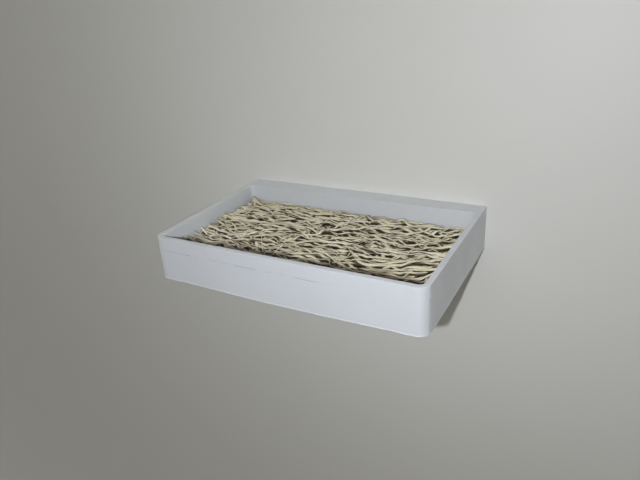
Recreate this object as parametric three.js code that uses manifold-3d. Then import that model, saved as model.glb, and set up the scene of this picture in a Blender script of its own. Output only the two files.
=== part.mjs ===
// Wall soap dish: a shallow printed tray that hangs on a dovetail plate stuck to the wall,
// with a loose mat of tangled strands that keeps what lies on it out of the water.
// Millimetres, +Z up. The wall is the plane y = 0 and the dish stands out from it towards -Y.
// The origin is the middle of the adhesive strip's face on the wall.

import * as THREE from "three";
import { mergeVertices } from "three/addons/utils/BufferGeometryUtils.js";
import Module from "manifold-3d";

const wasm = await Module();
wasm.setup();

// Tray
const trayWidth = 120;
const trayDepth = 80;
const trayHeight = 20;
const sideWall = 2.4;
const floorThick = 2.4;
const frontRadius = 4.5;
const rearRadius = 0.8;
const innerRearRadius = 2;
const underEdge = 0.5;
const innerEdge = 1;
const wallGap = 0.4;

// Wall plate and the adhesive strip behind it
const plateWidth = 62;
const plateHeight = 12.4;
const plateThick = 6;
const plateFlare = 3;
const plateEdge = 0.5;
const plateLift = 1.3;
const stripWidth = 50;
const stripHeight = 10;
const stripThick = 1.2;
const stripRadius = 1.5;

// Fits between the pieces
const slideClearance = 0.4;
const seatGap = 0.3;
const matClearance = 1;

// Drain slots in the floor
const slotWidth = 3;
const slotLength = 18;
const slotColumns = 7;
const slotRows = 2;

// Strand mat
const matThick = 10.4;
const strandDiameter = 3;
const strandBite = 0.35;
const longStrands = 6;
const crossStrands = 8;
const longWave = 3.4;
const crossWave = 2.6;
const longTurns = 3;
const crossTurns = 2;
const stepsPerTurn = 5;
const phaseStep = 2.4;

// Levels and planes that follow from the sizes above
const plateTop = plateHeight / 2;
const pocketRoof = plateTop + seatGap;
const trayBottom = -plateHeight / 2 - plateLift;
const trayTop = trayBottom + trayHeight;
const floorTop = trayBottom + floorThick;
const plateFront = -(stripThick + plateThick);
const pocketFront = plateFront - slideClearance;
const cavityRear = pocketFront - sideWall;
const trayRear = -wallGap;
const trayFront = trayRear - trayDepth;
const cavityFront = trayFront + sideWall;
const cavityHalf = trayWidth / 2 - sideWall;
const matHalf = cavityHalf - matClearance;
const matFront = cavityFront + matClearance;
const matRear = cavityRear - matClearance;
const matBottom = floorTop + seatGap;

// Closed solid of a geometry.
function solid(geometry) {
  geometry.deleteAttribute("normal");
  geometry.deleteAttribute("uv");
  const merged = mergeVertices(geometry, 1e-5);
  return new wasm.Manifold(new wasm.Mesh({
    numProp: 3,
    vertProperties: new Float32Array(merged.attributes.position.array),
    triVerts: new Uint32Array(merged.index.array),
  }));
}

// Named mesh of a solid, with its own material.
function piece(name, body, color, roughness) {
  const { vertProperties, triVerts } = body.getMesh();
  const geometry = new THREE.BufferGeometry();
  geometry.setAttribute("position", new THREE.BufferAttribute(new Float32Array(vertProperties), 3));
  geometry.setIndex(new THREE.BufferAttribute(new Uint32Array(triVerts), 1));
  geometry.computeVertexNormals();
  const mesh = new THREE.Mesh(geometry, new THREE.MeshStandardMaterial({ color, roughness, metalness: 0 }));
  mesh.name = name;
  return mesh;
}

// Outline of a box seen from above, with one radius at the front corners and one at the rear.
function plan(half, front, rear, frontR, rearR) {
  const shape = new THREE.Shape();
  shape.absarc(frontR - half, front + frontR, frontR, Math.PI, 1.5 * Math.PI);
  shape.absarc(half - frontR, front + frontR, frontR, 1.5 * Math.PI, 2 * Math.PI);
  shape.absarc(half - rearR, rear - rearR, rearR, 0, 0.5 * Math.PI);
  shape.absarc(rearR - half, rear - rearR, rearR, 0.5 * Math.PI, Math.PI);
  return shape;
}

// Outline between two levels, with both end edges chamfered.
function upright(shape, low, high, edge, curveSegments = 4) {
  const geometry = new THREE.ExtrudeGeometry(shape, {
    depth: high - low - 2 * edge,
    bevelEnabled: edge > 0,
    bevelThickness: edge,
    bevelSize: edge,
    bevelOffset: -edge,
    bevelSegments: 1,
    curveSegments,
  });
  return solid(geometry.translate(0, 0, low + edge));
}

// Dovetail outline, wider away from the wall, grown by a clearance on both flanks.
function dovetail(rear, front, clearance) {
  const slope = plateFlare / plateThick;
  const grow = clearance * Math.hypot(1, slope);
  const half = (y) => plateWidth / 2 - (y - plateFront) * slope + grow;
  return new THREE.Shape([
    new THREE.Vector2(-half(rear), rear),
    new THREE.Vector2(-half(front), front),
    new THREE.Vector2(half(front), front),
    new THREE.Vector2(half(rear), rear),
  ]);
}

// Tray: a chamfered underside, a flat rim, the hollow inside, the pocket for the plate and the drain slots.
function makeTray() {
  const outline = plan(trayWidth / 2, trayFront, trayRear, frontRadius, rearRadius);
  const inside = plan(cavityHalf, cavityFront, cavityRear, frontRadius - sideWall, innerRearRadius);
  const above = new THREE.BoxGeometry(2 * trayWidth, 4 * trayDepth, trayHeight);
  let body = upright(outline, trayBottom, trayTop + 2 * underEdge, underEdge);
  body = body.subtract(solid(above.translate(0, 0, trayTop + trayHeight / 2)));
  body = body.subtract(upright(inside, floorTop, trayTop + trayHeight, innerEdge));
  body = body.subtract(upright(dovetail(1, pocketFront, slideClearance), trayBottom - 1, pocketRoof, 0));
  const acrossStep = (2 * cavityHalf - slotWidth) / slotColumns;
  const alongStep = (cavityRear - cavityFront) / slotRows;
  for (let column = 0; column < slotColumns; column += 1) {
    for (let row = 0; row < slotRows; row += 1) {
      const x = (column - (slotColumns - 1) / 2) * acrossStep;
      const y = cavityFront + (row + 0.5) * alongStep;
      const slot = plan(slotWidth / 2, -slotLength / 2, slotLength / 2, slotWidth / 2, slotWidth / 2);
      const cut = upright(slot, trayBottom - 1, floorTop + 1, 0, 2);
      body = body.subtract(cut.translate([x, y, 0]));
    }
  }
  return body;
}

// One strand: a round rod along a wavy path that runs from -1 to 1.
function strand(place, steps) {
  const points = [];
  for (let i = 0; i <= steps; i += 1) {
    points.push(place(2 * i / steps - 1));
  }
  const section = new THREE.Shape();
  section.absarc(0, 0, strandDiameter / 2, 0, 2 * Math.PI);
  return solid(new THREE.ExtrudeGeometry(section, {
    steps,
    bevelEnabled: false,
    curveSegments: 2,
    extrudePath: new THREE.CatmullRomCurve3(points),
  }));
}

// Mat: layers of wavy strands, crosswise and lengthwise by turns, each biting into the layer below.
function makeMat() {
  const radius = strandDiameter / 2;
  const layers = Math.ceil((matThick - strandDiameter) / (strandDiameter - strandBite)) + 1;
  const rise = (matThick - strandDiameter) / (layers - 1);
  const middle = (matFront + matRear) / 2;
  const halfDepth = (matRear - matFront) / 2;
  const strands = [];
  for (let layer = 0; layer < layers; layer += 1) {
    const lengthwise = layer % 2 === 1;
    const count = lengthwise ? longStrands : crossStrands;
    const wave = lengthwise ? longWave : crossWave;
    const turns = lengthwise ? longTurns : crossTurns;
    const run = lengthwise ? matHalf : halfDepth;
    const spread = (lengthwise ? halfDepth : matHalf) - wave - radius;
    const z = matBottom + radius + layer * rise;
    for (let i = 0; i < count; i += 1) {
      const across = spread * (2 * i / (count - 1) - 1);
      const phase = phaseStep * (i + layers * layer);
      strands.push(strand((t) => {
        const side = across + wave * Math.sin(turns * Math.PI * t + phase);
        return lengthwise
          ? new THREE.Vector3(run * t, middle + side, z)
          : new THREE.Vector3(side, middle + run * t, z);
      }, stepsPerTurn * turns));
    }
  }
  return strands.reduce((all, one) => all.add(one));
}

// Adhesive strip between the plate and the wall.
function makeStrip() {
  const outline = plan(stripWidth / 2, -stripHeight / 2, stripHeight / 2, stripRadius, stripRadius);
  const geometry = new THREE.ExtrudeGeometry(outline, {
    depth: stripThick,
    bevelEnabled: false,
    curveSegments: 3,
  });
  return solid(geometry.rotateX(Math.PI / 2));
}

const plateOutline = dovetail(-stripThick, plateFront, 0);
const plate = upright(plateOutline, -plateHeight / 2, plateTop, plateEdge);

const dish = new THREE.Group();
dish.name = "wall_soap_dish";
dish.add(piece("tray", makeTray(), 0xe9ebee, 0.45));
dish.add(piece("strand_mat", makeMat(), 0xd8c9a3, 0.6));
dish.add(piece("wall_plate", plate, 0xe4e6e9, 0.5));
dish.add(piece("adhesive_strip", makeStrip(), 0x8d8f91, 0.8));

export default dish;
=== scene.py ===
# %% [markdown]
# # A printed soap dish for a shower wall
# The dish is a shallow white tray that hangs on a small plate stuck to the wall. A loose mat of
# tangled strands lies in it and keeps what is put on it out of the water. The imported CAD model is
# loaded first, as a fixed frame: it gives every size and place, and the pieces made here ride on its
# bodies.

# %% Load the frame
import math

import bmesh
import bpy
import numpy as np
from mathutils import Matrix, Vector


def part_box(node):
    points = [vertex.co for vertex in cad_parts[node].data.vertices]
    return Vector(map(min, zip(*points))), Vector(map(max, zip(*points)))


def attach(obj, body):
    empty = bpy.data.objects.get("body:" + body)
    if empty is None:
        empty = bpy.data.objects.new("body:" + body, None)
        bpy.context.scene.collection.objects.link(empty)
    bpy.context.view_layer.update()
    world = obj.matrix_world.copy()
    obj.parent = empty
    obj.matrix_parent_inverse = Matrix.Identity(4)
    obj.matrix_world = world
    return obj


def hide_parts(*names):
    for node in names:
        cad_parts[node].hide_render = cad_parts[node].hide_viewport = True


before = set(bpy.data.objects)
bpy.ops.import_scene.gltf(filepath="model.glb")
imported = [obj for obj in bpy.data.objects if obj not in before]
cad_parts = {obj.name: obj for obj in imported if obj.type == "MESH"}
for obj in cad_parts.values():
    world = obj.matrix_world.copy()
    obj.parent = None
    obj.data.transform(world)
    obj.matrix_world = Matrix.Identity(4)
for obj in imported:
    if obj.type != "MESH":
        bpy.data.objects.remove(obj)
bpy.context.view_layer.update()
MM = 0.001
scene = bpy.context.scene
scene.view_settings.view_transform = "Standard"

# %% [markdown]
# ## The camera
# The dish was photographed from its front right, a little above the rim, with the picture tipped a few
# degrees. A camera could be nudged by eye until the edges meet. Here its angles were worked out from
# the tray's straight edges, so they are written as angles, a distance and the point that it looks at.

# %% Camera
IMAGE_WIDTH = 640
FOCAL_PIXELS = 582.2
SENSOR_WIDTH = 36
NEAREST_SEEN = 10 * MM
VIEW_AZIMUTH = math.radians(29.62)
VIEW_ELEVATION = math.radians(24.37)
VIEW_ROLL = math.radians(-3.70)
VIEW_DISTANCE = 254.7 * MM
VIEW_TARGET = Vector((-2.24, -40.4, 3.2)) * MM


def direction(azimuth, elevation):
    """The unit vector from the dish towards a viewer: azimuth 0 stands in front of it."""
    flat = math.cos(elevation)
    return Vector((math.sin(azimuth) * flat, -math.cos(azimuth) * flat, math.sin(elevation)))


def make_camera():
    data = bpy.data.cameras.new("photo_camera")
    data.sensor_width = SENSOR_WIDTH
    data.lens = FOCAL_PIXELS / IMAGE_WIDTH * SENSOR_WIDTH
    data.clip_start = NEAREST_SEEN
    camera = bpy.data.objects.new("photo_camera", data)
    scene.collection.objects.link(camera)
    back = direction(VIEW_AZIMUTH, VIEW_ELEVATION)
    right = (-back).cross(Vector((0, 0, 1))).normalized()
    up = right.cross(-back)
    tipped_right = right * math.cos(VIEW_ROLL) + up * math.sin(VIEW_ROLL)
    tipped_up = up * math.cos(VIEW_ROLL) - right * math.sin(VIEW_ROLL)
    turn = Matrix((tipped_right, tipped_up, back)).transposed().to_4x4()
    camera.matrix_world = Matrix.Translation(VIEW_TARGET + back * VIEW_DISTANCE) @ turn
    scene.camera = camera
    return camera


camera = make_camera()
print("camera at", [round(v / MM, 1) for v in camera.location], "mm, lens", round(camera.data.lens, 2))

# %% [markdown]
# ## Sizes
# The outside sizes come from the CAD nodes. The wall thickness and the pocket behind the back wall
# are repeated here, because a node's box doesn't show what is hollow inside it.

# %% Sizes of the tray
tray_low, tray_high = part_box("tray")
plate_low, plate_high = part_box("wall_plate")
SIDE_WALL = 2.4 * MM
FLOOR = 2.4 * MM
FRONT_RADIUS = 4.5 * MM
REAR_RADIUS = 0.8 * MM
INNER_REAR_RADIUS = 2.0 * MM
SLIDE_CLEARANCE = 0.4 * MM
SEAT_GAP = 0.3 * MM
PLATE_FLARE = 3.0 * MM
tray_half = tray_high.x
tray_height = tray_high.z - tray_low.z
tray_middle = np.array((0, (tray_low.y + tray_high.y) / 2))
cavity_half = tray_half - SIDE_WALL
cavity_front = tray_low.y + SIDE_WALL
pocket_front = plate_low.y - SLIDE_CLEARANCE
cavity_rear = pocket_front - SIDE_WALL
cavity_depth = cavity_rear - cavity_front
print("inside of the tray", round(2 * cavity_half / MM, 1), "x", round(cavity_depth / MM, 1), "mm")

# %% [markdown]
# ## The tray's outline
# The real tray was printed in thin layers, one on top of the other. A bevelled box would be too clean
# for it, so the tray is a loft: one outline is repeated from the underside up over the rim and down to
# the floor, and small formulas move each point. The outline comes first. It has straight sides, broad
# round corners at the front and tight ones at the wall.

# %% Outline seen from above
ARC_STEPS = 16
EDGE_POINTS = (96, 48, 48, 48)


def outline(half, front, rear, front_radius, rear_radius):
    """Points counter-clockwise from the front left corner, and their outward normals."""
    corners = (
        (front_radius - half, front + front_radius, front_radius, 180),
        (half - front_radius, front + front_radius, front_radius, 270),
        (half - rear_radius, rear - rear_radius, rear_radius, 0),
        (rear_radius - half, rear - rear_radius, rear_radius, 90),
    )
    arcs = []
    for x, y, radius, start in corners:
        turn = np.radians(start + np.linspace(0, 90, ARC_STEPS + 1))
        spokes = np.stack((np.cos(turn), np.sin(turn)), axis=1)
        arcs.append((np.array((x, y)) + radius * spokes, spokes))
    points, normals = [], []
    for (here, spokes), (after, _), count in zip(arcs, arcs[1:] + arcs[:1], EDGE_POINTS):
        share = np.linspace(0, 1, count + 2)[1:-1, None]
        points += [here, here[-1] * (1 - share) + after[0] * share]
        normals += [spokes, np.repeat(spokes[-1:], count, axis=0)]
    return np.concatenate(points), np.concatenate(normals)


outside, outside_normals = outline(tray_half, tray_low.y, tray_high.y, FRONT_RADIUS, REAR_RADIUS)
inside, inside_normals = outline(
    cavity_half, cavity_front, cavity_rear, FRONT_RADIUS - SIDE_WALL, INNER_REAR_RADIUS
)
print("points in each outline", len(outside), len(inside))

# %% [markdown]
# ## What printing leaves on the walls
# Where the pocket in the back wall is roofed over, a fine line runs round the outside. It is clearest
# at the front left and fades out along the sides. Each layer starts at one corner, where small blobs
# pile up into a seam, and the first layers spread into a thin foot. All of this could be painted on,
# but it catches the light, so it is made of small moves of the wall, in and out.

# %% Smooth changes
def wobble(t, seed):
    """A smooth value between about -1 and 1 that never quite repeats."""
    return (np.sin(t + seed) + np.sin(2.3 * t + 2.1 * seed) + np.sin(4.7 * t + 3.7 * seed)) / 3


def ease(value, start, end):
    """0 before start, 1 after end, and a smooth rise between them."""
    share = np.clip((value - start) / (end - start), 0, 1)
    return share * share * (3 - 2 * share)


def along_wall(points):
    """A length in mm that changes steadily along every wall."""
    return (points[:, 0] - points[:, 1]) / MM


print("an ease from 0 to 1 passes", ease(0.25, 0, 1), "at a quarter")

# %% The print line
LINE_LEVEL = 14.05 * MM
LINE_HALF_HEIGHT = 0.11 * MM
LINE_WANDER, LINE_WANDER_LENGTH = 0.10 * MM, 30
LINE_MEAN, LINE_SWING, LINE_SWING_LENGTH, LINE_LEAST = 0.62, 0.6, 5, 0.12
FRONT_FADE, FADE_FROM, FADE_TO = 0.75, 16 * MM, 30 * MM
SIDE_FADE, SIDE_FROM, SIDE_TO = 0.7, 5 * MM, 14 * MM


def print_line(points, height):
    """How strongly the line shows at each point of one level, from 0 to 1."""
    along = along_wall(points)
    faint = np.clip(LINE_MEAN + LINE_SWING * wobble(along / LINE_SWING_LENGTH, seed=1.3), LINE_LEAST, 1)
    faint *= 1 - FRONT_FADE * ease(points[:, 0], FADE_FROM, FADE_TO) * (points[:, 1] < cavity_front)
    faint *= 1 - SIDE_FADE * ease(points[:, 1] - tray_low.y, SIDE_FROM, SIDE_TO)
    level = LINE_LEVEL + LINE_WANDER * wobble(along / LINE_WANDER_LENGTH, seed=0.4)
    return faint * np.exp(-(((height - level) / LINE_HALF_HEIGHT) ** 2))


print("the line lies", round(LINE_LEVEL / MM, 2), "mm above the underside")

# %% Line, seam, foot and ripple
LINE_DEPTH = 0.16 * MM
LIP_ABOVE_LINE = 0.04 * MM
SEAM_HEIGHT = 0.20 * MM
SEAM_HALF_WIDTH = 0.42 * MM
BLOB_MEAN, BLOB_SWING, BLOBS_PER_MM, BLOB_LEAST = 0.35, 0.65, 3.1, 0.1
FOOT_SPREAD = 0.22 * MM
FOOT_HEIGHT = 0.45 * MM
FOOT_MEAN, FOOT_SWING, FOOT_SWING_LENGTH = 0.75, 0.4, 3
RIPPLE = 0.012 * MM
RIPPLE_LENGTH, RIPPLE_DRIFT = 4, 3
# The seam lies three quarters of the way round the front right corner.
seam_point = outside[ARC_STEPS + 1 + EDGE_POINTS[0] + 3 * ARC_STEPS // 4]


def print_marks(points, height):
    """How far the outer wall stands out at each point of one level."""
    along = along_wall(points)
    line = -LINE_DEPTH * print_line(points, height)
    lip = LIP_ABOVE_LINE * (height > LINE_LEVEL)
    away = np.linalg.norm(points - seam_point, axis=1)
    blob = BLOB_MEAN + BLOB_SWING * wobble(height / MM * BLOBS_PER_MM, seed=2.2)
    seam = SEAM_HEIGHT * max(blob, BLOB_LEAST) * np.exp(-((away / SEAM_HALF_WIDTH) ** 2))
    spread = FOOT_SPREAD * (FOOT_MEAN + FOOT_SWING * wobble(along / FOOT_SWING_LENGTH, seed=0.7))
    foot = spread * np.exp(-((height / FOOT_HEIGHT) ** 4))
    drift = RIPPLE_DRIFT * wobble(height / MM, seed=0.9)
    ripple = RIPPLE * wobble(along / RIPPLE_LENGTH + drift, seed=1.9)
    return line + lip + seam + foot + ripple


print("the foot stands out by as much as", round(print_marks(outside, 0).max() / MM, 2), "mm")

# %% [markdown]
# ## Curled corners
# Printed plastic shrinks as it cools, and the tray's front corners have pulled up off the print bed a
# little. A lattice could bend the finished tray, but the rim has stayed level. So the curl is worked
# out for the underside, and it fades out up the wall.

# %% Curl of the underside
LEFT_CURL, LEFT_FROM, LEFT_TO = 0.75 * MM, 8 * MM, 46 * MM
RIGHT_CURL, RIGHT_FROM, RIGHT_TO = 0.4 * MM, 16 * MM, 52 * MM
FRONT_FROM, FRONT_TO = 45 * MM, 78 * MM


def corner_curl(points):
    """How far the underside has lifted off at each point of the outline."""
    left = LEFT_CURL * ease(-points[:, 0], LEFT_FROM, LEFT_TO)
    right = RIGHT_CURL * ease(points[:, 0], RIGHT_FROM, RIGHT_TO)
    return (left + right) * ease(-points[:, 1], FRONT_FROM, FRONT_TO)


outside_curl = corner_curl(outside)
print("front corners curl up by as much as", round(outside_curl.max() / MM, 2), "mm")

# %% [markdown]
# ## From the underside to the floor
# The loft's rows could be evenly spaced, but fine marks would then need thousands of them. So they lie
# close together where the wall changes fast, at the foot, about the line and round the edges, and far
# apart elsewhere. Beside its places, each row carries how much grime the line holds there, and the
# material reads that later.

# %% Levels of the outer wall
UNDER_EDGE = 0.25 * MM
RIM_EDGE = 0.3 * MM
FOOT_ROWS = 7
FOOT_TOP = 1.3 * MM
WALL_STEP = 0.45 * MM
LINE_ROWS = 15
LINE_REACH = 0.5 * MM
LINE_CLEAR = 0.6 * MM


def wall_levels():
    """Heights of the outer wall's rows: fine at the foot and about the line, and even elsewhere."""
    foot = np.linspace(UNDER_EDGE, FOOT_TOP, FOOT_ROWS)
    even = np.arange(FOOT_TOP + WALL_STEP, tray_height - RIM_EDGE, WALL_STEP)
    far = even[np.abs(even - LINE_LEVEL) > LINE_CLEAR]
    near = LINE_LEVEL + LINE_REACH * np.linspace(-1, 1, LINE_ROWS)
    return np.sort(np.concatenate((foot, far, near, [tray_height - RIM_EDGE])))


print("levels of the outer wall", len(wall_levels()))

# %% Rows of the loft
FLOOR_FILLET = 1.0 * MM
FLAT_SHARE = 0.7
UNDERSIDE_SHARES = (FLAT_SHARE, 0.8, 0.9, 0.97)
INNER_ROWS = 12
ROUNDING_STEPS = 4
quarter = np.linspace(0, math.pi / 2, ROUNDING_STEPS + 1)


def ring(points, normals, grow, height, grime=0.0):
    """One closed row: places moved out by grow, at a height above the underside, and their grime."""
    moved = points + normals * np.reshape(grow, (-1, 1))
    same = np.zeros(len(moved))
    return np.column_stack((moved, same + tray_low.z + height, same + grime))


def outer_ring(height, grow=0.0):
    """A row of the outer wall, with its print marks. The corners' curl fades out towards the rim."""
    lifted = height + outside_curl * (1 - height / tray_height)
    marks = print_marks(outside, height)
    return ring(outside, outside_normals, marks + grow, lifted, print_line(outside, height))


def outer_rings():
    """Rows from the middle of the underside, round its edge and up the wall, to the top of the rim."""
    rows = []
    for share in UNDERSIDE_SHARES:
        points = tray_middle + (outside - tray_middle) * share
        rows.append(ring(points, outside_normals, 0, outside_curl * (share - FLAT_SHARE) / (1 - FLAT_SHARE)))
    for a in quarter[:-1]:
        rows.append(outer_ring(UNDER_EDGE * (1 - math.cos(a)), -UNDER_EDGE * (1 - math.sin(a))))
    rows += [outer_ring(height) for height in wall_levels()]
    for a in quarter[1:]:
        rows.append(outer_ring(tray_height - RIM_EDGE * (1 - math.sin(a)), -RIM_EDGE * (1 - math.cos(a))))
    return rows


def inner_rings():
    """Rows from the top of the rim down the inside and round its lower edge, to the floor."""
    rows = []
    for a in quarter[::-1]:
        height = tray_height - RIM_EDGE * (1 - math.sin(a))
        rows.append(ring(inside, inside_normals, RIM_EDGE * (1 - math.cos(a)), height))
    for height in np.linspace(tray_height - RIM_EDGE, FLOOR + FLOOR_FILLET, INNER_ROWS)[1:-1]:
        rows.append(ring(inside, inside_normals, 0, height))
    for a in quarter:
        height = FLOOR + FLOOR_FILLET * (1 - math.sin(a))
        rows.append(ring(inside, inside_normals, -FLOOR_FILLET * (1 - math.cos(a)), height))
    return rows


tray_rings = outer_rings() + inner_rings()
print("rows of the tray", len(tray_rings))

# %% Loft the tray
def tube_faces(first, rows, count):
    """Faces of a closed tube: rows of count points each, numbered from first on, with both ends capped."""
    here = np.arange(count)
    after = np.roll(here, -1)
    faces = [(first + here[::-1]).tolist()]
    for low in range(first, first + (rows - 1) * count, count):
        high = low + count
        faces += np.column_stack((low + here, low + after, high + after, high + here)).tolist()
    faces.append((first + (rows - 1) * count + here).tolist())
    return faces


def loft(name, rings):
    """A closed mesh object through rings that have the same number of points."""
    mesh = bpy.data.meshes.new(name)
    faces = tube_faces(0, len(rings), len(rings[0]))
    mesh.from_pydata(np.concatenate(rings)[:, :3].tolist(), [], faces)
    made = bpy.data.objects.new(name, mesh)
    scene.collection.objects.link(made)
    return made


tray = loft("printed_tray", tray_rings)
grime = tray.data.attributes.new("grime", "FLOAT", "POINT")
grime.data.foreach_set("value", np.concatenate(tray_rings)[:, 3])
print("tray faces before cutting", len(tray.data.polygons))

# %% [markdown]
# ## What is cut out of the tray
# Two rows of slots let the water out, and a dovetail pocket in the back wall slides down over the wall
# plate. Both could be modelled into the loft, but a Boolean against closed cutters is simpler. Each
# cutter flares at its ends, so that the cut edges come out slightly broken, as printed edges are.

# %% Slot cutters
SLOT_HALF_WIDTH = 1.5 * MM
SLOT_LENGTH = 18 * MM
SLOT_COLUMNS, SLOT_ROWS = 7, 2
SLOT_ARC_STEPS = 8
BROKEN_EDGE = 0.3 * MM


def slot_ring(x, y, grow, height):
    """A row of points round one slot, with half-round ends."""
    turn = np.linspace(0, math.pi, SLOT_ARC_STEPS + 1)
    arc = np.column_stack((np.cos(turn), np.sin(turn))) * (SLOT_HALF_WIDTH + grow)
    reach = np.array((0, SLOT_LENGTH / 2 - SLOT_HALF_WIDTH))
    points = np.concatenate((arc + reach, -arc - reach)) + (x, y)
    return np.column_stack((points, np.full(len(points), tray_low.z + height)))


def make_slot_cutters():
    across = (2 * cavity_half - 2 * SLOT_HALF_WIDTH) / SLOT_COLUMNS
    along = cavity_depth / SLOT_ROWS
    levels = (
        (-BROKEN_EDGE, 2 * BROKEN_EDGE),
        (BROKEN_EDGE, 0),
        (FLOOR - BROKEN_EDGE, 0),
        (FLOOR + BROKEN_EDGE, 2 * BROKEN_EDGE),
    )
    cutters = []
    for column in range(SLOT_COLUMNS):
        for row in range(SLOT_ROWS):
            x = (column - (SLOT_COLUMNS - 1) / 2) * across
            y = cavity_front + (row + 0.5) * along
            rings = [slot_ring(x, y, grow, height) for height, grow in levels]
            cutters.append(loft("slot_cutter", rings))
    return cutters


slot_cutters = make_slot_cutters()
print("slots", len(slot_cutters))

# %% Pocket cutter
PAST_WALL = 1 * MM


def dovetail_ring(grow, height):
    """A row of points round the pocket, wider away from the wall."""
    slope = PLATE_FLARE / (plate_high.y - plate_low.y)
    side = (SLIDE_CLEARANCE + grow) * math.hypot(1, slope)
    front, rear = pocket_front - grow, PAST_WALL
    wide = plate_high.x - (front - plate_low.y) * slope + side
    narrow = plate_high.x - (rear - plate_low.y) * slope + side
    points = np.array(((-wide, front), (wide, front), (narrow, rear), (-narrow, rear)))
    return np.column_stack((points, np.full(len(points), tray_low.z + height)))


def make_pocket_cutter():
    roof = plate_high.z + SEAT_GAP - tray_low.z
    levels = ((-BROKEN_EDGE, 2 * BROKEN_EDGE), (BROKEN_EDGE, 0), (roof, 0))
    return loft("pocket_cutter", [dovetail_ring(grow, height) for height, grow in levels])


pocket_cutter = make_pocket_cutter()
print("pocket", [round(v / MM, 1) for v in pocket_cutter.dimensions], "mm")

# %% Cut them out
def cut_away(piece, cutters):
    """Subtracts closed cutters from a piece, then removes them."""
    for number, cutter in enumerate(cutters):
        subtract = piece.modifiers.new(f"cut_{number}", "BOOLEAN")
        subtract.operation = "DIFFERENCE"
        subtract.solver = "EXACT"
        subtract.object = cutter
    ready = piece.evaluated_get(bpy.context.evaluated_depsgraph_get())
    mesh = bpy.data.meshes.new_from_object(ready)
    piece.modifiers.clear()
    piece.data = mesh
    for cutter in cutters:
        bpy.data.objects.remove(cutter)


cut_away(tray, [*slot_cutters, pocket_cutter])
print("tray faces after cutting", len(tray.data.polygons))

# %% [markdown]
# ## Smooth faces and sharp edges
# Light shows every facet of a mesh, so the tray's faces are shaded smooth. But its rim, slots and pocket
# have real edges, which smooth shading would blur. A modifier could split the mesh at them, but then it
# would no longer be closed. So the edges that turn clearly are marked sharp, and open ones are counted.

# %% Shade the tray
SHARP_ANGLE = math.radians(32)
SAME_PLACE = 0.001 * MM


def shade(piece):
    """Smooth faces, with the edges between clearly turned faces left sharp."""
    form = bmesh.new()
    form.from_mesh(piece.data)
    bmesh.ops.remove_doubles(form, verts=form.verts, dist=SAME_PLACE)
    for face in form.faces:
        face.smooth = True
    for edge in form.edges:
        edge.smooth = len(edge.link_faces) == 2 and edge.calc_face_angle(0) < SHARP_ANGLE
    open_edges = sum(not edge.is_manifold for edge in form.edges)
    form.to_mesh(piece.data)
    form.free()
    weigh = piece.modifiers.new("even_normals", "WEIGHTED_NORMAL")
    weigh.keep_sharp = True
    return open_edges


print("open edges on the tray", shade(tray))
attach(tray, "tray")
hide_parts("tray")

# %% [markdown]
# ## Helpers for shaders
# A finish is a tree of nodes. It could be wired by hand in the shader editor, but a script has to name
# every node and link. A few small functions make that short: each adds one node, links or sets its
# sockets, and gives back what the next node needs.

# %% Nodes
def add_node(tree, kind, sockets=None, **settings):
    """A shader node with its settings, and each socket either linked or set."""
    made = tree.nodes.new("ShaderNode" + kind)
    for key, value in settings.items():
        setattr(made, key, value)
    for key, value in (sockets or {}).items():
        if isinstance(value, bpy.types.NodeSocket):
            tree.links.new(value, made.inputs[key])
        else:
            made.inputs[key].default_value = value
    return made


def calc(tree, operation, first, second=0.0, third=0.0):
    """The output of one Math node."""
    return add_node(tree, "Math", {0: first, 1: second, 2: third}, operation=operation).outputs[0]


def ramp(tree, value, start, end):
    """0 before start, 1 after end, and a smooth rise between them."""
    sockets = {"Value": value, "From Min": start, "From Max": end}
    return add_node(tree, "MapRange", sockets, interpolation_type="SMOOTHSTEP").outputs[0]


def blend_value(tree, share, low, high):
    """A value that goes from low to high as share goes from 0 to 1."""
    return add_node(tree, "Mix", {"Factor": share, "A": low, "B": high}).outputs["Result"]


def blend_colour(tree, share, low, high, blend="MIX"):
    """A colour mixed from two others."""
    made = add_node(tree, "Mix", {0: share, 6: low, 7: high}, data_type="RGBA", blend_type=blend)
    return made.outputs[2]


def tinted(tree, colour, mask, most, tint):
    """A colour that goes towards a tint where a mask is high, by as much as most."""
    return blend_colour(tree, calc(tree, "MULTIPLY", mask, most), colour, tint)


print("nodes are added by", [f.__name__ for f in (add_node, calc, ramp, blend_value, blend_colour, tinted)])

# %% Groups and materials
def new_group(name, inputs, outputs):
    """An empty shader group of float sockets, with its input and output nodes."""
    tree = bpy.data.node_groups.new(name, "ShaderNodeTree")
    for label, value in inputs.items():
        socket = tree.interface.new_socket(label, in_out="INPUT", socket_type="NodeSocketFloat")
        socket.default_value = value
    for label in outputs:
        tree.interface.new_socket(label, in_out="OUTPUT", socket_type="NodeSocketFloat")
    return tree, tree.nodes.new("NodeGroupInput").outputs, tree.nodes.new("NodeGroupOutput").inputs


def place_group(tree, group, sockets):
    """One use of a group in a material."""
    made = add_node(tree, "Group", node_tree=group)
    for key, value in sockets.items():
        made.inputs[key].default_value = value
    return made.outputs


def new_material(name):
    """A material, its tree and its Principled BSDF."""
    material = bpy.data.materials.new(name)
    material.use_nodes = True
    return material, material.node_tree, material.node_tree.nodes["Principled BSDF"]


print("groups and materials are made by", [f.__name__ for f in (new_group, place_group, new_material)])

# %% [markdown]
# ## Printed lines
# The texture of printed plastic is all lines: rounded beads, one layer high, on the upright faces, and
# beads side by side on the flat ones, where they follow the rim or run at 45 degrees. They could be
# modelled, but they are finer than the mesh, so a shader makes them, as a height that a Bump node turns
# into shading. Two pieces are printed, so the lines are a node group, which each material places with
# its own sizes.

# %% Group: printed lines
LAYER_HEIGHT = 0.2 * MM
BEAD_WIDTH = 0.42 * MM
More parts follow.
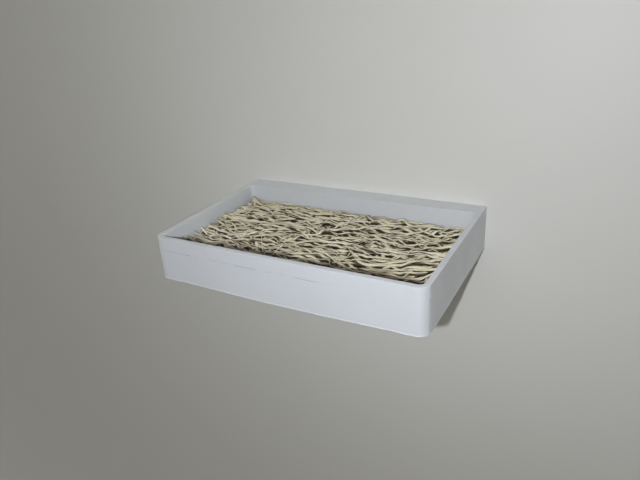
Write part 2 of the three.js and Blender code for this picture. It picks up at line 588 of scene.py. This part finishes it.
# A place far outside the piece, for a piece that has no rim.
NO_RIM = 1.0
FLAT_FACING = 0.6
CROWN_SHARE, LUCK_SHARE, DRIFT_SHARE = 0.6, 0.35, 0.5


def printed_lines():
    """Beads of plastic: level ones on upright faces, and on flat faces along the rim or at 45 degrees."""
    tree, given, result = new_group(
        "printed_lines",
        {"Layer": LAYER_HEIGHT, "Bead": BEAD_WIDTH, "Rim Half": NO_RIM, "Rim Front": -NO_RIM},
        ("Height", "Layer Shade"),
    )
    place = add_node(tree, "TexCoord").outputs["Object"]
    where = add_node(tree, "SeparateXYZ", {0: place}).outputs
    facing = add_node(tree, "SeparateXYZ", {0: add_node(tree, "NewGeometry").outputs["Normal"]}).outputs
    flat = calc(tree, "GREATER_THAN", calc(tree, "ABSOLUTE", facing["Z"]), FLAT_FACING)
    on_side = calc(tree, "GREATER_THAN", calc(tree, "ABSOLUTE", where["X"]), given["Rim Half"])
    on_front = calc(tree, "LESS_THAN", where["Y"], given["Rim Front"])
    slant = calc(tree, "MULTIPLY", calc(tree, "ADD", where["X"], where["Y"]), math.sqrt(0.5))
    run = blend_value(tree, on_side, slant, where["X"])
    run = blend_value(tree, on_front, run, where["Y"])
    level = calc(tree, "DIVIDE", where["Z"], given["Layer"])
    bead = blend_value(tree, flat, level, calc(tree, "DIVIDE", run, given["Bead"]))
    across = calc(tree, "MULTIPLY_ADD", calc(tree, "FRACT", bead), 2.0, -1.0)
    crown = calc(tree, "SUBTRACT", 1.0, calc(tree, "MULTIPLY", across, across))
    number = calc(tree, "FLOOR", bead)
    luck = add_node(tree, "TexWhiteNoise", {"W": number}, noise_dimensions="1D").outputs["Value"]
    stretched = add_node(tree, "Mapping", {0: place, "Scale": (1, 1, 9)}).outputs[0]
    drift = add_node(tree, "TexNoise", {"Vector": stretched, "Scale": 260.0, "Detail": 3.0}).outputs[0]
    height = calc(tree, "MULTIPLY_ADD", luck, LUCK_SHARE, calc(tree, "MULTIPLY", crown, CROWN_SHARE))
    tree.links.new(calc(tree, "MULTIPLY_ADD", drift, DRIFT_SHARE, height), result["Height"])
    tree.links.new(luck, result["Layer Shade"])
    return tree


lines_group = printed_lines()
print("group", lines_group.name, "with", len(lines_group.nodes), "nodes")

# %% [markdown]
# ## Uneven patches
# No real surface has one colour and one gloss all over: hands, water and age leave soft clouds on it. A
# noise texture that is stretched to full contrast gives them. Every finish here but the mat's uses it,
# at a scale of its own, so it is a group too.

# %% Group: uneven patches
def uneven_patches():
    """A soft cloudy value for handling marks, damp and fading."""
    tree, given, result = new_group("uneven_patches", {"Scale": 40.0, "Low": 0.35, "High": 0.65}, ("Patch",))
    sockets = {"Vector": add_node(tree, "TexCoord").outputs["Object"], "Scale": given["Scale"]}
    cloud = add_node(tree, "TexNoise", {**sockets, "Detail": 4.0, "Roughness": 0.6}).outputs[0]
    tree.links.new(ramp(tree, cloud, given["Low"], given["High"]), result["Patch"])
    return tree


patches_group = uneven_patches()
print("group", patches_group.name, "with", len(patches_group.nodes), "nodes")

# %% [markdown]
# ## Printed plastic
# The tray is a satin, slightly cool white. One flat colour would look like paint, so it shifts a little
# in patches and from layer to layer, the gloss changes with it, and the line holds grey grime. The wall
# plate comes off the same printer, in a duller white.

# %% Material: printed plastic
WHITE, WHITE_SHADE = (0.645, 0.667, 0.697, 1), (0.61, 0.632, 0.662, 1)
PLATE_WHITE, PLATE_SHADE = (0.60, 0.61, 0.625, 1), (0.53, 0.54, 0.555, 1)
GRIME_COLOUR = (0.24, 0.235, 0.225, 1)
GRIME_FROM, GRIME_TO = 0.15, 0.8
PATCH_SHADE, LAYER_SHADE = 0.6, 0.25
SATIN, PATCH_ROUGH, FLECK_ROUGH = 0.42, 0.10, 0.06
BEAD_BUMP = 0.010 * MM


def printed_plastic(name, colour, shade_colour, rim_half=NO_RIM, rim_front=-NO_RIM):
    material, tree, surface = new_material(name)
    lines = place_group(tree, lines_group, {"Rim Half": rim_half, "Rim Front": rim_front})
    patch = place_group(tree, patches_group, {"Scale": 55.0})["Patch"]
    fleck = place_group(tree, patches_group, {"Scale": 900.0, "Low": 0.55, "High": 0.75})["Patch"]
    tone = tinted(tree, colour, patch, PATCH_SHADE, shade_colour)
    tone = tinted(tree, tone, lines["Layer Shade"], LAYER_SHADE, shade_colour)
    grime = add_node(tree, "Attribute", attribute_name="grime").outputs["Fac"]
    tone = blend_colour(tree, ramp(tree, grime, GRIME_FROM, GRIME_TO), tone, GRIME_COLOUR)
    tree.links.new(tone, surface.inputs["Base Color"])
    rough = calc(tree, "MULTIPLY_ADD", patch, PATCH_ROUGH, SATIN)
    tree.links.new(calc(tree, "MULTIPLY_ADD", fleck, FLECK_ROUGH, rough), surface.inputs["Roughness"])
    bump = add_node(tree, "Bump", {"Strength": 1.0, "Distance": BEAD_BUMP, "Height": lines["Height"]})
    tree.links.new(bump.outputs[0], surface.inputs["Normal"])
    surface.inputs["Specular IOR Level"].default_value = 0.45
    return material


white_plastic = printed_plastic("white_printed_plastic", WHITE, WHITE_SHADE, cavity_half, cavity_front)
plate_plastic = printed_plastic("plate_printed_plastic", PLATE_WHITE, PLATE_SHADE)
tray.data.materials.clear()
tray.data.materials.append(white_plastic)


def finish_node(node, material):
    """Gives a CAD node a material on the object, so that its mesh stays as it was packed."""
    for place in node.material_slots:
        place.link = "OBJECT"
        place.material = material


finish_node(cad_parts["wall_plate"], plate_plastic)
print("printed materials on", tray.name, "and wall_plate")

# %% [markdown]
# ## The adhesive strip
# The strip is grey acrylic foam with a sticky skin. Its solid is already the right shape, so only the
# surface is made: fine closed cells, whose pits are darkened with painted shade, and a slightly glossy
# skin in patches.

# %% Material: foam tape
# The pit colour is painted shade in the bottoms of the cells.
FOAM_PIT_SHADE, FOAM_GREY = (0.10, 0.105, 0.11, 1), (0.30, 0.31, 0.32, 1)
FOAM_SKIN, SKIN_SHARE = (0.20, 0.205, 0.21, 1), 0.3
FOAM_ROUGH, SKIN_GLOSS = 0.75, -0.25
PIT_BUMP = 0.05 * MM


def foam_tape():
    material, tree, surface = new_material("foam_tape")
    where = add_node(tree, "TexCoord").outputs["Object"]
    cells = add_node(tree, "TexVoronoi", {"Vector": where, "Scale": 2600.0}).outputs["Distance"]
    patch = place_group(tree, patches_group, {"Scale": 180.0})["Patch"]
    # Painted shade in the pits of the cells.
    tone = blend_colour(tree, cells, FOAM_PIT_SHADE, FOAM_GREY)
    tone = tinted(tree, tone, patch, SKIN_SHARE, FOAM_SKIN)
    tree.links.new(tone, surface.inputs["Base Color"])
    tree.links.new(calc(tree, "MULTIPLY_ADD", patch, SKIN_GLOSS, FOAM_ROUGH), surface.inputs["Roughness"])
    bump = add_node(tree, "Bump", {"Strength": 0.6, "Distance": PIT_BUMP, "Height": cells})
    tree.links.new(bump.outputs[0], surface.inputs["Normal"])
    return material


finish_node(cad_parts["adhesive_strip"], foam_tape())
print("foam on the adhesive strip")

# %% [markdown]
# ## The strand mat
# The mat is a felted tangle of dry, flat strands. They run in bundles, mostly along the dish, swirl at
# its right end and stop ragged at its edges. Hair or scattered copies would be quick to make, but they
# would pass through each other. Here each strand gets a path of its own, which follows the bundles with
# small kinks. The seed is fixed, so that every run gives the same tangle.

# %% Strand paths
MAT_SEED = 20
STRAND_STEP = 0.6 * MM
KINK = 0.20
KINK_LENGTH = 6 * MM
# Each swirl has its size, its two wavelengths in mm and its shift from layer to layer.
SWIRLS = ((0.25, 9, 6.5, 2.1), (0.2, 5.2, -8, 1.3))
END_TURN, END_FROM, END_LENGTH = 0.9, 30, 27
mat_low, mat_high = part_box("strand_mat")
mat_middle = np.array(((mat_low.x + mat_high.x) / 2, (mat_low.y + mat_high.y) / 2))
mat_half = np.array(((mat_high.x - mat_low.x) / 2, (mat_high.y - mat_low.y) / 2))
thickness = mat_high.z - mat_low.z
chance = np.random.default_rng(MAT_SEED)


def bundle_heading(x, y, layer):
    """The way that the bundles run at a place given in mm: along the dish, with slow swirls."""
    swirl = sum(size * math.sin(x / wide + y / deep + shift * layer) for size, wide, deep, shift in SWIRLS)
    return swirl + END_TURN * max(0.0, x - END_FROM) / END_LENGTH


def strand_path(start, room, length, layer, stray):
    """A path that follows the bundles both ways from its start and stops at the edge of its room."""
    halves = []
    for way in (1, -1):
        (x, y), points = start, []
        kinks = chance.normal(0, KINK, int(length / 2 / KINK_LENGTH) + 1)
        for step in range(int(length / 2 / STRAND_STEP)):
            kink = kinks[int(step * STRAND_STEP / KINK_LENGTH)]
            angle = bundle_heading(x / MM, y / MM, layer) + stray + kink
            x += way * STRAND_STEP * math.cos(angle)
            y += way * STRAND_STEP * math.sin(angle)
            if abs(x) > room[0] or abs(y) > room[1]:
                break
            points.append((x, y))
        halves.append(points)
    return np.array([*halves[1][::-1], tuple(start), *halves[0]])


print("mat", (2 * mat_half / MM).round(1), "mm, thick", round(thickness / MM, 1))

# %% [markdown]
# ## How a strand lies
# A rigid-body simulation could drop the strands on each other, but it would be slow, and it may come out
# differently on each machine. A height map is enough. It remembers how high the pile is. A new strand
# bridges the dips that it is too stiff to follow, tilts with what is under it, and then raises the map.

# %% The pile
CELL = 0.3 * MM
ACROSS = np.linspace(-1, 1, 11)
pile = np.zeros(np.ceil(2 * mat_half / CELL).astype(int) + 1)


def cells_at(points):
    """The pile's cells under points of the mat."""
    cells = np.rint((points + mat_half) / CELL).astype(int)
    cells = np.clip(cells, 0, np.array(pile.shape) - 1)
    return cells[..., 0], cells[..., 1]


def lanes(path, half_width):
    """Points across a strand, lane by lane from its right edge to its left."""
    ahead = np.gradient(path, axis=0)
    ahead /= np.linalg.norm(ahead, axis=1, keepdims=True)
    level = np.column_stack((-ahead[:, 1], ahead[:, 0]))
    return path + ACROSS[:, None, None] * half_width * level


def halved(values):
    """Values along a strand, with the mean of each two put in between them."""
    finer = np.repeat(values, 2, axis=0)[:-1]
    finer[1::2] = (values[:-1] + values[1:]) / 2
    return finer


def raise_pile(path, heights, tilts, half_width, half_thick):
    """Lifts the pile under a strand that has been laid."""
    crown = half_thick * np.sqrt(1 - ACROSS**2)
    tops = halved(heights) + ACROSS[:, None] * half_width * halved(tilts) + crown[:, None]
    np.maximum.at(pile, cells_at(lanes(halved(path), half_width)), tops)


print("height map of", pile.shape, "cells")

# %% Lay one strand
MOST_TILT = 0.7
EVEN_OUT = np.array((0.1, 0.2, 0.4, 0.2, 0.1))
# The tilt is measured between these lanes, whose middles lie 1.4 half widths apart.
RIGHT_LANES, LEFT_LANES = slice(0, 4), slice(7, 11)
LANE_SPREAD = 1.4
# Of the eleven lanes, sorted by height, this one carries the strand.
BEARING_LANE = 7
# A strand sinks in by this share of its half thickness, and may bite deeper where it bends.
SINK, MOST_BITE = 0.2, 0.3


def smoothed(values):
    """Values along a strand, evened out between neighbours."""
    return np.convolve(np.pad(values, len(EVEN_OUT) // 2, mode="edge"), EVEN_OUT, mode="valid")


def settle(path, half_width, half_thick, steepest):
    """Heights and tilts of a strand's middle line when it lies on the pile as it is."""
    under = pile[cells_at(lanes(path, half_width))]
    rise = under[LEFT_LANES].mean(axis=0) - under[RIGHT_LANES].mean(axis=0)
    tilt = rise / (LANE_SPREAD * half_width)
    tilt = smoothed(smoothed(np.clip(tilt, -MOST_TILT, MOST_TILT)))
    found = np.sort(under - ACROSS[:, None] * half_width * tilt, axis=0)[BEARING_LANE]
    lift = found.copy()
    fall = steepest * STRAND_STEP
    for i in range(1, len(lift)):
        lift[i] = max(lift[i], lift[i - 1] - fall)
    for i in range(len(lift) - 2, -1, -1):
        lift[i] = max(lift[i], lift[i + 1] - fall)
    lies = np.maximum(smoothed(lift), found - MOST_BITE * half_thick)
    return lies + (1 - SINK) * half_thick, tilt


print("a strand may tilt by", round(math.degrees(math.atan(MOST_TILT))), "degrees")

# %% [markdown]
# ## Courses of strands
# Strands of one kind would leave either big holes or a flat sheet. So the mat is laid in courses: coarse
# strands fill the bottom, which hardly shows, broad flat ones cover them, short ones fill the holes that
# are left, and a few long or thin ones lie loose on top. Each strand takes the lowest of a few random
# paths, which keeps the pile level.

# %% Kinds of strand
# Half widths and lengths are in mm, and top is a share of the mat's thickness.
COURSES = (
    dict(half_width=(1.0, 1.4), flat=0.72, length=(40, 100), stray=0.4, steepest=0.45, places=8, tries=5,
         top=0.76, most=400, curl=0, mesh_step=7, sides=4),
    dict(half_width=(0.7, 1.0), flat=0.6, length=(20, 50), stray=0.3, steepest=0.6, places=12, tries=6,
         top=0.9, most=400, curl=0, mesh_step=6, sides=4),
    dict(half_width=(0.5, 0.9), flat=0.4, length=(12, 34), stray=0.24, steepest=0.8, places=24, tries=8,
         top=0.98, most=560, curl=2, mesh_step=3, sides=6),
    dict(half_width=(0.45, 0.8), flat=0.45, length=(6, 16), stray=0.3, steepest=1.2, places=90, tries=4,
         top=0.98, most=440, curl=0, mesh_step=3, sides=6),
    dict(half_width=(0.45, 0.85), flat=0.42, length=(24, 70), stray=0.22, steepest=0.7, places=6, tries=4,
         top=1.06, most=170, curl=3, mesh_step=3, sides=6),
    dict(half_width=(0.14, 0.26), flat=0.9, length=(10, 36), stray=0.5, steepest=0.6, places=4, tries=4,
         top=1.08, most=60, curl=3, mesh_step=3, sides=4),
)
print("courses", len(COURSES), "with at most", sum(course["most"] for course in COURSES), "strands")

# %% Lay the strands
RAGGED_EDGE = 0.7 * MM
# A path keeps this share of the strand's half width clear of the mat's edge.
EDGE_ROOM = 0.4
LEAST_POINTS = 6
MOST_REFUSED = 60
# About a quarter of the strands stray three times as far, and so cross the others.
CROSSING, CROSSING_STRAY = 0.26, 3
# The swirls shift by one layer after so many strands.
LAYER_STRANDS = 90
CURL_LENGTH = 8 * MM
INNER_CURL = 0.2


def low_place(room, count):
    """The lowest of some random places on the pile."""
    places = room * chance.uniform(-1, 1, (count, 2))
    return places[np.argmin(pile[cells_at(places)])]


def curl_ends(path, heights, most):
    """Lifts a strand's two ends, more at the mat's left edge than elsewhere."""
    run = np.arange(len(path)) * STRAND_STEP
    for end, away in ((path[0], run), (path[-1], run[-1] - run)):
        reach = most if end[0] < CURL_LENGTH / 2 - mat_half[0] else INNER_CURL * most
        heights = heights + chance.uniform(0, reach) * np.clip(1 - away / CURL_LENGTH, 0, 1) ** 2
    return heights


def lay_course(course, number):
    """Lays strands one by one, each on the lowest of a few random paths, until the pile is full."""
    laid, refused = [], 0
    while len(laid) < course["most"] and refused < MOST_REFUSED:
        half_width = chance.uniform(*course["half_width"]) * MM
        half_thick = half_width * course["flat"]
        layer = number + len(laid) / LAYER_STRANDS
        tries = []
        while len(tries) < course["tries"]:
            length = chance.uniform(*course["length"]) * MM
            stray = chance.normal(0, course["stray"]) * (CROSSING_STRAY if chance.uniform() < CROSSING else 1)
            room = mat_half - EDGE_ROOM * half_width - chance.uniform(0, RAGGED_EDGE, 2)
            path = strand_path(low_place(room, course["places"]), room, length, layer, stray)
            if len(path) >= LEAST_POINTS:
                tries.append((*settle(path, half_width, half_thick, course["steepest"]), path))
        heights, tilts, path = min(tries, key=lambda found: found[0].mean())
        if heights.max() + half_thick > course["top"] * thickness:
            refused += 1
            continue
        raise_pile(path, heights, tilts, half_width, half_thick)
        heights = curl_ends(path, heights, course["curl"] * MM)
        laid.append((path, heights, tilts, half_width, half_thick))
    return laid


courses = [lay_course(course, number) for number, course in enumerate(COURSES)]
print("strands in each course", [len(laid) for laid in courses],
      "mean top", round(pile.mean() / MM, 2), "mm, highest", round(pile.max() / MM, 2), "mm")

# %% [markdown]
# ## Strands as solids
# A curve with a round bevel would make even tubes. These strands are flat, twist, change in width and
# narrow to their tips, so rings of points are set round each path and joined into a closed tube. Each
# point also carries marks for the material: its strand's tone, its place along and across the strand,
# how deep it lies and how much painted shade it takes at the front edge and underneath.

# %% Rings round a strand
TIP_LENGTH = 2 * MM
TIP_SHARE = 0.08
UNEVEN_WIDTH = 0.3
UNEVEN_LENGTH = 4 * MM
MOST_TWIST = 0.55
TWIST_ROWS = 5
SEEDS = (0, 9)


def strand_ribbon(path, heights, tilts, half_width, half_thick, sides):
    """Rings of points round a strand: flat ovals, tilted with the pile, that narrow to both tips."""
    line = np.column_stack((path, heights))
    ahead = np.gradient(line, axis=0)
    ahead /= np.linalg.norm(ahead, axis=1, keepdims=True)
    level = np.column_stack((-ahead[:, 1], ahead[:, 0], np.zeros(len(line))))
    level /= np.linalg.norm(level, axis=1, keepdims=True)
    upward = np.cross(ahead, level)
    twist = MOST_TWIST * wobble(np.arange(len(line)) / TWIST_ROWS, chance.uniform(*SEEDS))
    lean = (np.arctan(tilts) + twist)[:, None]
    sideways = level * np.cos(lean) + upward * np.sin(lean)
    outward = upward * np.cos(lean) - level * np.sin(lean)
    run = np.concatenate(([0], np.cumsum(np.linalg.norm(np.diff(line, axis=0), axis=1))))
    taper = np.sqrt(np.clip(np.minimum(run, run[-1] - run) / TIP_LENGTH, TIP_SHARE, 1))
    taper *= 1 + UNEVEN_WIDTH * wobble(run / UNEVEN_LENGTH, chance.uniform(*SEEDS))
    turn = np.arange(sides) * 2 * math.pi / sides
    wide = (half_width * taper)[:, None, None] * np.cos(turn)[None, :, None]
    tall = (half_thick * taper)[:, None, None] * np.sin(turn)[None, :, None]
    return line[:, None] + wide * sideways[:, None] + tall * outward[:, None], run


print("a strand's tips are", round(math.sqrt(TIP_SHARE), 2), "of its width")

# %% Depth and painted shade
NEAR_CELLS = 3
SIDE_REACH = 0.35
# The mat's front edge and its underside are darkened with painted shade.
FRONT_SHADE_FROM, FRONT_SHADE_TO = 10 * MM, 20 * MM
FRONT_SHADE_WANDER, FRONT_SHADE_WAVE = 3 * MM, 8 * MM
UNDER_SHADE, UNDER_SHADE_FROM, UNDER_SHADE_TO = 0.5, 1 * MM, 7 * MM


def highest_near(values, reach):
    """The highest value within a few cells of each cell."""
    rows, columns = values.shape
    padded = np.pad(values, reach, mode="edge")
    shifts = [(i, j) for i in range(2 * reach + 1) for j in range(2 * reach + 1)]
    return np.max([padded[i:i + rows, j:j + columns] for i, j in shifts], axis=0)


# This depth sets the painted shade on strands that lie deep in the pile.
def depth_inside(points):
    """How deep each point lies in the mat. The light reaches further in from the sides and from below."""
    from_top = pile_top[cells_at(points[:, :2])] - points[:, 2]
    from_sides = (mat_half - np.abs(points[:, :2])).min(axis=1)
    return np.minimum(from_top, SIDE_REACH * np.minimum(from_sides, points[:, 2]))


def painted_front_under_shade(points):
    """How much painted shade each point takes: most at the front edge, and less underneath."""
    from_front = points[:, 1] + mat_half[1] + FRONT_SHADE_WANDER * wobble(points[:, 0] / FRONT_SHADE_WAVE, seed=0.6)
    below = UNDER_SHADE * (1 - ease(points[:, 2], UNDER_SHADE_FROM, UNDER_SHADE_TO))
    return np.maximum(1 - ease(from_front, FRONT_SHADE_FROM, FRONT_SHADE_TO), below)


pile_top = highest_near(pile, NEAR_CELLS)
print("mean top over", 2 * NEAR_CELLS + 1, "cells", round(pile_top.mean() / MM, 2), "mm")

# %% Join the strands
STRAND_MARKS = ("tone", "along", "edge", "buried", "front_under_shade")


def make_mat(courses):
    """One mesh of all the strands, with their marks as attributes of its points."""
    points, faces = [], []
    marks = {label: [] for label in STRAND_MARKS}
    total = 0
    for course, laid in zip(COURSES, courses):
        sides = course["sides"]
        # How far round towards its sides each point lies; the material paints shade there.
        edge = np.abs(np.cos(np.arange(sides) * 2 * math.pi / sides))
        for path, heights, tilts, half_width, half_thick in laid:
            chosen = np.unique(np.append(np.arange(0, len(path), course["mesh_step"]), len(path) - 1))
            rings, run = strand_ribbon(
                path[chosen], heights[chosen], tilts[chosen], half_width, half_thick, sides
            )
            kept = np.clip(rings.reshape(-1, 3), (*-mat_half, 0), (*mat_half, math.inf))
            points.append(kept)
            faces += tube_faces(total, len(rings), sides)
            marks["tone"].append(np.full(len(kept), chance.uniform()))
            marks["along"].append(np.repeat(run, sides))
            marks["edge"].append(np.tile(edge, len(rings)))
            marks["buried"].append(depth_inside(kept))
            marks["front_under_shade"].append(painted_front_under_shade(kept))
            total += len(kept)
    mesh = bpy.data.meshes.new("strand_tangle")
    corner = np.array((*mat_middle, mat_low.z))
    mesh.from_pydata((np.concatenate(points) + corner).tolist(), [], faces)
    for label, values in marks.items():
        mesh.attributes.new(label, "FLOAT", "POINT").data.foreach_set("value", np.concatenate(values))
    mesh.shade_smooth()
    made = bpy.data.objects.new("strand_tangle", mesh)
    scene.collection.objects.link(made)
    return made


tangle = make_mat(courses)
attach(tangle, "mat")
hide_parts("strand_mat")
print("mat faces", len(tangle.data.polygons))

# %% [markdown]
# ## Dry fibre
# The strands look like dry plant fibre: straw-coloured, each a little different, with fine streaks and
# joints along them. Their sides are darkened with painted shade, and so are the strands deep between the
# others, the front edge and the underside. A texture alone wouldn't know where the strands lie, so the
# material reads the marks that their points carry.

# %% Material: dry fibre
FIBRE_DULL, FIBRE_PALE = (0.82, 0.74, 0.52, 1), (0.98, 0.94, 0.76, 1)
STREAK_COLOUR, STREAK_SHARE = (0.33, 0.26, 0.15, 1), 0.16
JOINT_COLOUR, JOINT_SHARE = (0.52, 0.43, 0.28, 1), 0.2
# Painted shade along the sides of each strand.
EDGE_SHADE_COLOUR, EDGE_SHADE_SHARE = (0.12, 0.085, 0.04, 1), 0.85
EDGE_FROM, EDGE_TO = 0.70, 0.98
# Painted shade at the mat's front edge and underneath.
FRONT_UNDER_SHADE_COLOUR, FRONT_UNDER_SHADE_SHARE = (0.13, 0.085, 0.04, 1), 0.9
# Painted shade on the strands that lie deep in the pile.
DEPTH_SHADE_TINT = (0.06, 0.042, 0.016, 1)
DEPTH_SHADE_FROM, DEPTH_SHADE_TO = 0.4 * MM, 1.0 * MM
FIBRE_ROUGH, STREAK_ROUGH = 0.36, 0.25
STREAK_BUMP = 0.05 * MM


def dry_fibre():
    """Straw-coloured strands, each its own tone, with painted shade where they lie deep in the pile."""
    material, tree, surface = new_material("dry_fibre")
    tone, along, edge, buried, front_under_shade = (
        add_node(tree, "Attribute", attribute_name=label).outputs["Fac"] for label in STRAND_MARKS
    )
    where = add_node(tree, "TexCoord").outputs["Object"]
    streak = add_node(tree, "TexNoise", {"Vector": where, "Scale": 2200.0, "Detail": 3.0}).outputs[0]
    joints = {"W": along, "Scale": 260.0, "Detail": 2.0}
    joint = add_node(tree, "TexNoise", joints, noise_dimensions="1D").outputs[0]
    colour = blend_colour(tree, tone, FIBRE_DULL, FIBRE_PALE)
    colour = tinted(tree, colour, streak, STREAK_SHARE, STREAK_COLOUR)
    colour = tinted(tree, colour, joint, JOINT_SHARE, JOINT_COLOUR)
    # Painted shade along the sides of each strand.
    colour = tinted(tree, colour, ramp(tree, edge, EDGE_FROM, EDGE_TO), EDGE_SHADE_SHARE, EDGE_SHADE_COLOUR)
    # Painted shade at the mat's front edge and underneath.
    colour = tinted(tree, colour, front_under_shade, FRONT_UNDER_SHADE_SHARE, FRONT_UNDER_SHADE_COLOUR)
    # Painted shade on the strands that lie deep in the pile.
    deep_shaded = blend_colour(tree, 1.0, colour, DEPTH_SHADE_TINT, "MULTIPLY")
    colour = blend_colour(tree, ramp(tree, buried, DEPTH_SHADE_FROM, DEPTH_SHADE_TO), colour, deep_shaded)
    tree.links.new(colour, surface.inputs["Base Color"])
    tree.links.new(calc(tree, "MULTIPLY_ADD", streak, STREAK_ROUGH, FIBRE_ROUGH), surface.inputs["Roughness"])
    bump = add_node(tree, "Bump", {"Strength": 0.5, "Distance": STREAK_BUMP, "Height": streak})
    tree.links.new(bump.outputs[0], surface.inputs["Normal"])
    return material


tangle.data.materials.append(dry_fibre())
print("fibre on", tangle.name)

# %% [markdown]
# ## The stage
# The dish hangs on a plain pale wall over a plain pale floor. A solid wall would hide the back of the
# dish from a camera behind it and keep the light off it. So this one is met only from the front, by rays
# that look at it or fetch its light, and every other ray passes through. The floor glows a little where
# it is looked at, which keeps it pale without any more light on the dish.

# %% Stage paint
WALL_COLOUR, WALL_PATCH = (0.735, 0.73, 0.69, 1), (0.70, 0.695, 0.655, 1)
FLOOR_COLOUR, FLOOR_PATCH = (0.60, 0.595, 0.58, 1), (0.56, 0.555, 0.54, 1)
WALL_ROUGH, FLOOR_ROUGH = 0.5, 0.7
STAGE_PATCH_SHARE = 0.3


def stage_paint(name, colour, patch_colour, roughness):
    material, tree, surface = new_material(name)
    patch = place_group(tree, patches_group, {"Scale": 4.0})["Patch"]
    tone = tinted(tree, colour, patch, STAGE_PATCH_SHARE, patch_colour)
    tree.links.new(tone, surface.inputs["Base Color"])
    surface.inputs["Roughness"].default_value = roughness
    return material


wall_paint = stage_paint("stage_wall_paint", WALL_COLOUR, WALL_PATCH, WALL_ROUGH)
floor_paint = stage_paint("stage_floor_paint", FLOOR_COLOUR, FLOOR_PATCH, FLOOR_ROUGH)
print("paints", wall_paint.name, "and", floor_paint.name)

# %% A wall that is met only from the front
def show_to_front_only(material):
    """Lets every ray through but those that come from the front to see it or to fetch its light."""
    tree = material.node_tree
    front = calc(tree, "SUBTRACT", 1.0, add_node(tree, "NewGeometry").outputs["Backfacing"])
    rays = add_node(tree, "LightPath").outputs
    seen = calc(tree, "MAXIMUM", rays["Is Camera Ray"], rays["Is Diffuse Ray"])
    shown = calc(tree, "MULTIPLY", front, seen)
    clear = add_node(tree, "BsdfTransparent").outputs[0]
    paint = tree.nodes["Principled BSDF"].outputs[0]
    mixed = add_node(tree, "MixShader", {0: shown, 1: clear, 2: paint}).outputs[0]
    tree.links.new(mixed, tree.nodes["Material Output"].inputs["Surface"])


show_to_front_only(wall_paint)
print(wall_paint.name, "has", len(wall_paint.node_tree.nodes), "nodes")

# %% A floor that stays pale
FLOOR_GLOW = 0.7


def looked_at(tree):
    """1 for rays that look straight at a surface, or see it in gloss or through glass."""
    rays = add_node(tree, "LightPath").outputs
    seen = calc(tree, "MAXIMUM", rays["Is Camera Ray"], rays["Is Transmission Ray"])
    return calc(tree, "MAXIMUM", seen, rays["Is Glossy Ray"])


def glow_when_seen(material, colour, strength):
    """Keeps a sheet pale where it is looked at, without any more light on the dish."""
    tree = material.node_tree
    surface = tree.nodes["Principled BSDF"]
    surface.inputs["Emission Color"].default_value = colour
    tree.links.new(calc(tree, "MULTIPLY", looked_at(tree), strength), surface.inputs["Emission Strength"])


glow_when_seen(floor_paint, FLOOR_COLOUR, FLOOR_GLOW)
print(floor_paint.name, "has", len(floor_paint.node_tree.nodes), "nodes")

# %% Wall and floor
FLOOR_DROP = 0.45
STAGE_HALF = 3.0


def stage_sheet(name, corners, material):
    mesh = bpy.data.meshes.new(name)
    mesh.from_pydata(corners, [], [list(range(len(corners)))])
    mesh.materials.append(material)
    made = bpy.data.objects.new(name, mesh)
    scene.collection.objects.link(made)


drop = tray_low.z - FLOOR_DROP
around = [(x * STAGE_HALF, y * STAGE_HALF) for x, y in ((-1, -1), (1, -1), (1, 1), (-1, 1))]
stage_sheet("stage_wall", [(x, 0, max(z, drop)) for x, z in around], wall_paint)
stage_sheet("stage_floor", [(x, y, drop) for x, y in around], floor_paint)
print("wall at y = 0, floor", round(-drop / MM), "mm below the origin")

# %% [markdown]
# ## Light
# A small light close to the camera lit the photograph and drew its shadows, so a small key lamp stands
# there. Alone it would leave the other sides black. So wide soft lamps stand in front, at both sides,
# behind and above, and a dim pale world fills what is left. They are as bright as it takes for a colour
# to render about as it is written.

# %% Light
WARM = (1.0, 0.97, 0.89)
COOL = (0.92, 0.95, 1.0)
BACKGROUND = (0.72, 0.72, 0.70, 1)


def soft_lamp(name, azimuth, elevation, distance, size, power, colour=WARM):
    """A square lamp that looks at the dish from a direction in degrees."""
    data = bpy.data.lights.new(name, "AREA")
    data.size = size
    data.energy = power
    data.color = colour
    lamp = bpy.data.objects.new(name, data)
    scene.collection.objects.link(lamp)
    back = direction(math.radians(azimuth), math.radians(elevation))
    lamp.location = VIEW_TARGET + back * distance
    lamp.rotation_mode = "QUATERNION"
    lamp.rotation_quaternion = back.to_track_quat("Z", "Y")
    lamp.visible_camera = False


def pale_world(colour, strength):
    """Even light from all round, with a plain pale background for what looks straight at it."""
    world = bpy.data.worlds.new("pale_world")
    scene.world = world
    world.use_nodes = True
    tree = world.node_tree
    light = tree.nodes["Background"]
    light.inputs["Color"].default_value = (*colour, 1)
    light.inputs["Strength"].default_value = strength
    seen = add_node(tree, "Background", {"Color": BACKGROUND, "Strength": 1.0})
    mixed = add_node(tree, "MixShader", {0: looked_at(tree), 1: light.outputs[0], 2: seen.outputs[0]})
    tree.links.new(mixed.outputs[0], tree.nodes["World Output"].inputs["Surface"])


soft_lamp("key_lamp", 24.3, 22.0, distance=0.256, size=0.005, power=0.42, colour=COOL)
soft_lamp("front_lamp", 0, 18, distance=0.9, size=0.3, power=0.5)
soft_lamp("left_lamp", -100, 0, distance=1.1, size=0.8, power=3.2)
soft_lamp("right_lamp", 105, 0, distance=1.1, size=0.8, power=0.4)
soft_lamp("rear_lamp", 195, -12, distance=1.1, size=0.6, power=5.0)
soft_lamp("top_lamp", 180, 70, distance=1.1, size=0.6, power=1.2)
pale_world(WARM, strength=0.08)
